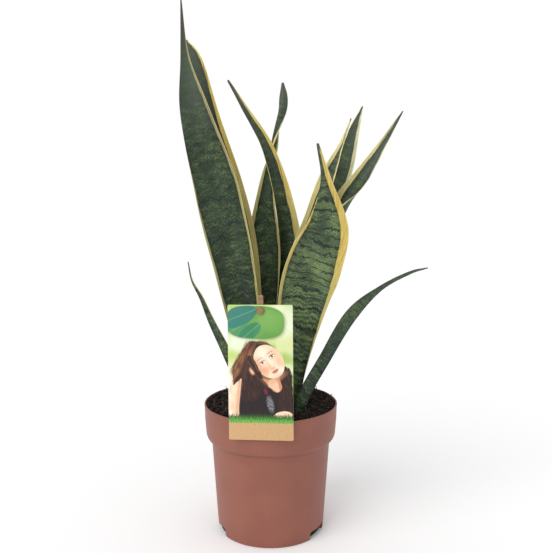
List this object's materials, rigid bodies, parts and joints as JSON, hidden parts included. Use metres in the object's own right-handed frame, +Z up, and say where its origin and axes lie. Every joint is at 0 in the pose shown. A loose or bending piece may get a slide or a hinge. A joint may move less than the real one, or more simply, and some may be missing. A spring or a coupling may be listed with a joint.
{
  "type": "potted snake plant",
  "caption": "Variegated snake plant with stiff upright leaves in a round tapered nursery pot of soil, with a picture label on a stake.",
  "frame": {"origin": "middle of the pot's underside, on the surface the pot stands on", "axes": "+Z up along the pot's axis, -Y towards the side the label faces, +X to the right seen from that side"},
  "size_m": [0.211, 0.1246, 0.468],
  "materials": {
    "pot_plastic": "satin",
    "peat": "matte",
    "rhizome": "matte",
    "leaf": "satin",
    "printed_card": "satin",
    "stake_plastic": "satin"
  },
  "bodies": {
    "root": {"pot": "pot_plastic", "soil": "peat", "rhizome_left": "rhizome", "rhizome_centre": "rhizome", "rhizome_right": "rhizome", "leaf_tall_front": "leaf", "leaf_tall_back": "leaf", "leaf_curled_tip": "leaf", "leaf_centre_back": "leaf", "leaf_broad_front": "leaf", "leaf_right_inner": "leaf", "leaf_right_outer": "leaf", "leaf_right_lean": "leaf", "leaf_low_right": "leaf", "leaf_low_left": "leaf", "label_card": "printed_card", "label_stake": "stake_plastic"}
  },
  "joints": []
}
